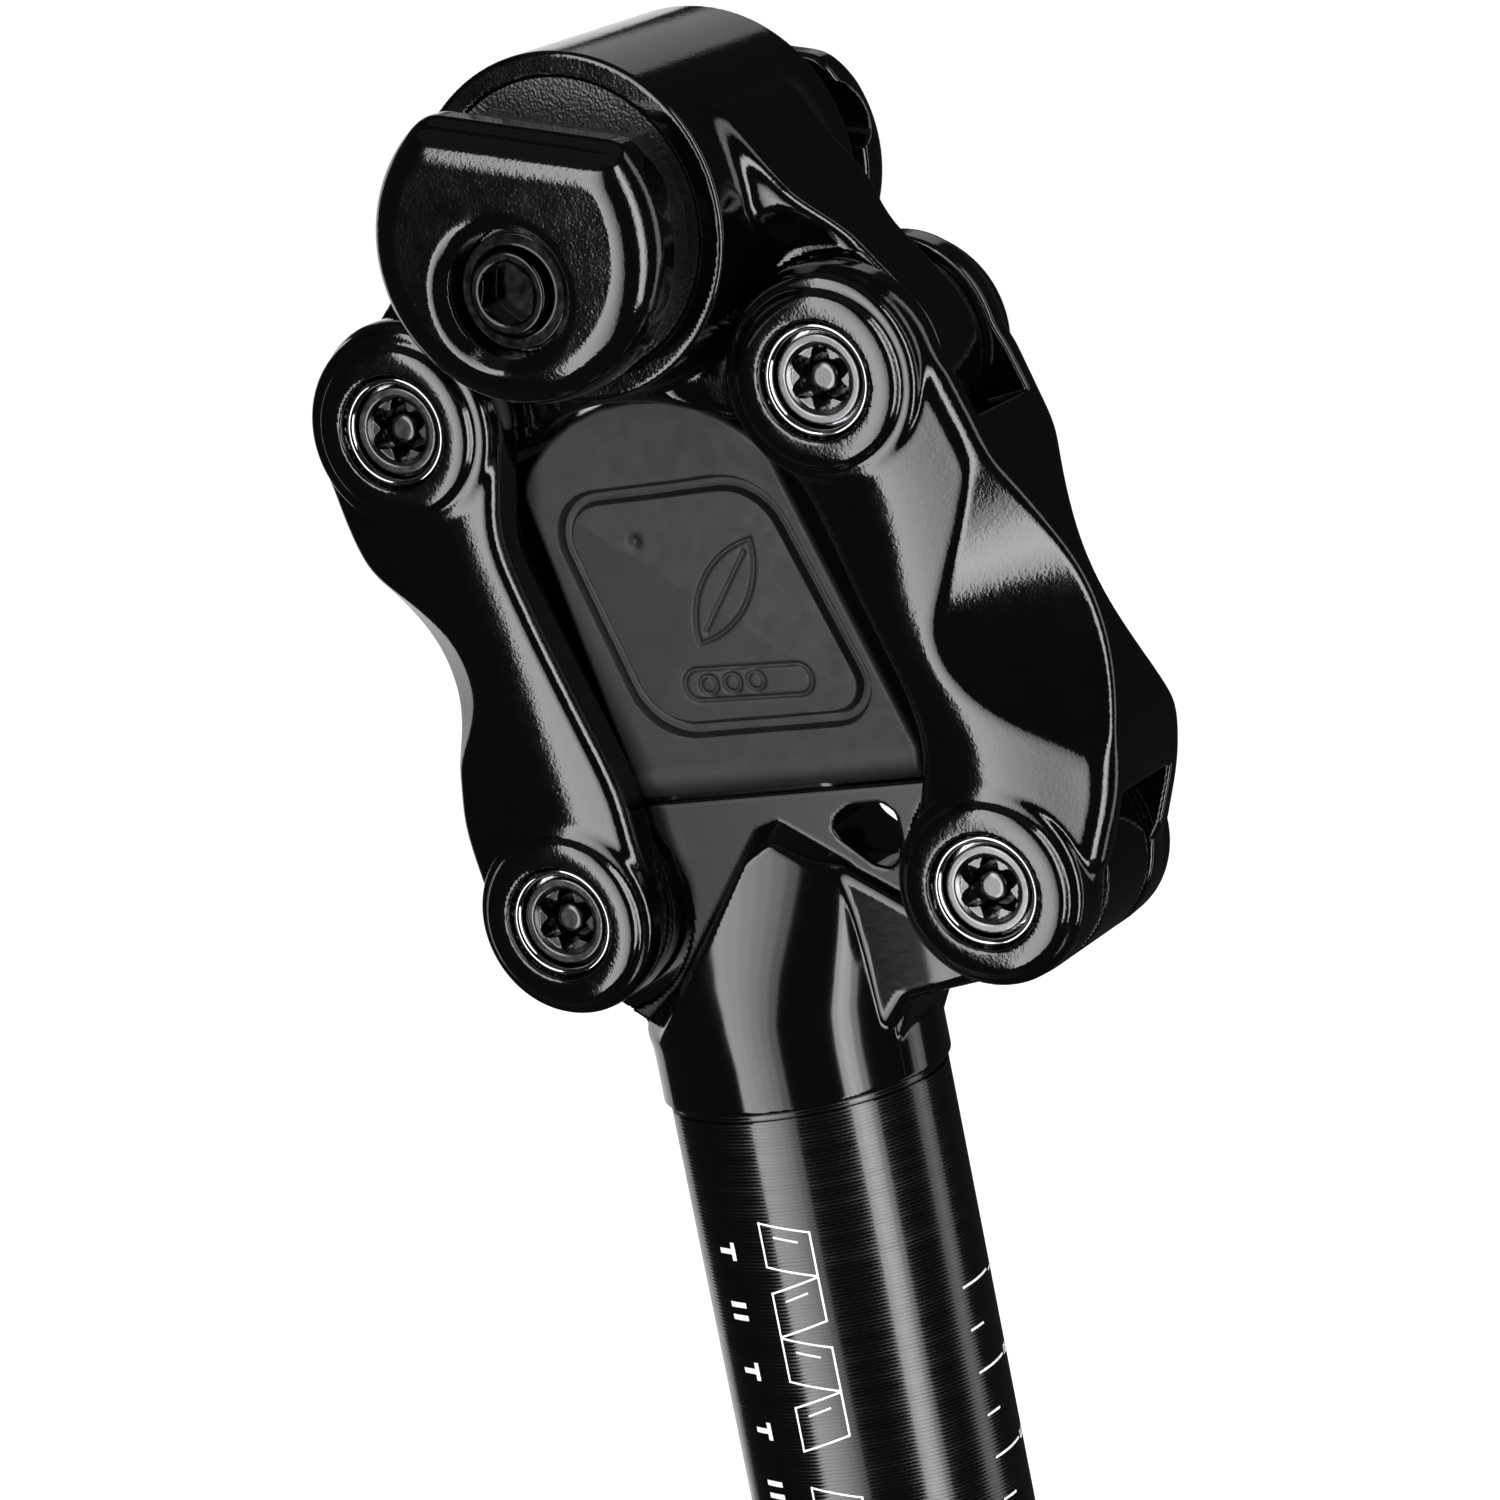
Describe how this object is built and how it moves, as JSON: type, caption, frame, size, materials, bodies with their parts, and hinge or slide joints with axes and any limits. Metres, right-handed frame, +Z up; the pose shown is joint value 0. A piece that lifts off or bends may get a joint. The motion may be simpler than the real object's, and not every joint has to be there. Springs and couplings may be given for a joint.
{
  "type": "suspension seatpost",
  "caption": "Straight bicycle seatpost with a linkage head: two links fold rearward against an elastomer block, under a side-clamping saddle rail clamp with tilt adjustment",
  "frame": {"origin": "On the post's axis, on the plane where the tube meets the lower yoke; the 31.6 mm tube hangs below it along -Z", "axes": "+Z up along the tube toward the saddle; +X forward, toward the handlebar; +Y toward the rider's left"},
  "size_m": [0.0895, 0.0592, 0.3946],
  "materials": {
    "turned_black": "black anodised turned tube with fine lathe lines and printed white marks",
    "machined_black": "satin black anodised faces, glossy round neck",
    "forged_black": "gloss black over forged aluminium, faint orange peel",
    "cast_grey": "dark fine-grained cast skin",
    "elastomer": "matte dark grey moulded elastomer",
    "bolt_black": "black oxide steel",
    "polished_steel": "polished steel sleeve",
    "screw_steel": "satin steel screw head",
    "bushing_polymer": "plain bearing liner",
    "washer_steel": "thin steel washer"
  },
  "bodies": {
    "base": {"post_tube": "turned_black", "lower_yoke": "machined_black", "elastomer": "elastomer", "bushings_rear_lower": "bushing_polymer", "bushings_front_lower": "bushing_polymer", "thrust_washers_rear_lower": "washer_steel", "thrust_washers_front_lower": "washer_steel"},
    "rear_link": {"rear_link": "forged_black", "pivot_axle_rear_lower": "polished_steel", "pivot_axle_rear_upper": "polished_steel", "pivot_screws_rear_lower": "screw_steel", "pivot_screws_rear_upper": "screw_steel"},
    "front_link": {"front_link": "forged_black", "pivot_axle_front_lower": "polished_steel", "pivot_axle_front_upper": "polished_steel", "pivot_screws_front_lower": "screw_steel", "pivot_screws_front_upper": "screw_steel"},
    "head": {"upper_head": "forged_black", "bushings_rear_upper": "bushing_polymer", "bushings_front_upper": "bushing_polymer", "thrust_washers_rear_upper": "washer_steel", "thrust_washers_front_upper": "washer_steel"},
    "clamp": {"inner_clamp_right": "cast_grey", "inner_clamp_left": "cast_grey"},
    "right_jaw": {"outer_clamp_right": "forged_black", "clamp_washer": "bolt_black"},
    "left_jaw": {"outer_clamp_left": "forged_black", "clamp_nut": "bolt_black"},
    "bolt": {"clamp_bolt": "bolt_black"}
  },
  "joints": [
    {"name": "rear_link_fold", "type": "hinge", "parent": "base", "child": "rear_link", "pos_m": [-0.01985, 0, 0.0227], "axis": [0, -1, 0], "range_deg": [0, 46], "stiffness_Nm_per_rad": 60, "deforming": ["elastomer"]},
    {"name": "front_link_fold", "type": "hinge", "parent": "base", "child": "front_link", "pos_m": [0.0331, 0, 0.0227], "axis": [0, -1, 0], "range_deg": [0, 46]},
    {"name": "head_level", "type": "hinge", "parent": "rear_link", "child": "head", "pos_m": [-0.02825, 0, 0.07955], "axis": [0, -1, 0], "range_deg": [-46, 0]},
    {"name": "saddle_tilt", "type": "hinge", "parent": "head", "child": "clamp", "pos_m": [0, 0, 0.0996], "axis": [0, 1, 0], "range_deg": [-18, 18]},
    {"name": "right_jaw_slide", "type": "slide", "parent": "clamp", "child": "right_jaw", "axis": [0, -1, 0], "range_m": [0, 0.003]},
    {"name": "left_jaw_slide", "type": "slide", "parent": "clamp", "child": "left_jaw", "axis": [0, 1, 0], "range_m": [0, 0.003]},
    {"name": "bolt_turn", "type": "hinge", "parent": "right_jaw", "child": "bolt", "pos_m": [-0.00122, 0, 0.09496], "axis": [0, -1, 0], "range_deg": [0, 1728]}
  ],
  "couplings": [
    {"joint": "head_level", "follows": "rear_link_fold", "ratio": -1},
    {"joint": "front_link_fold", "follows": "rear_link_fold", "ratio": 1},
    {"joint": "bolt_turn", "follows": "right_jaw_slide", "rad_per_m": 10053},
    {"joint": "left_jaw_slide", "follows": "right_jaw_slide", "ratio": 1}
  ]
}
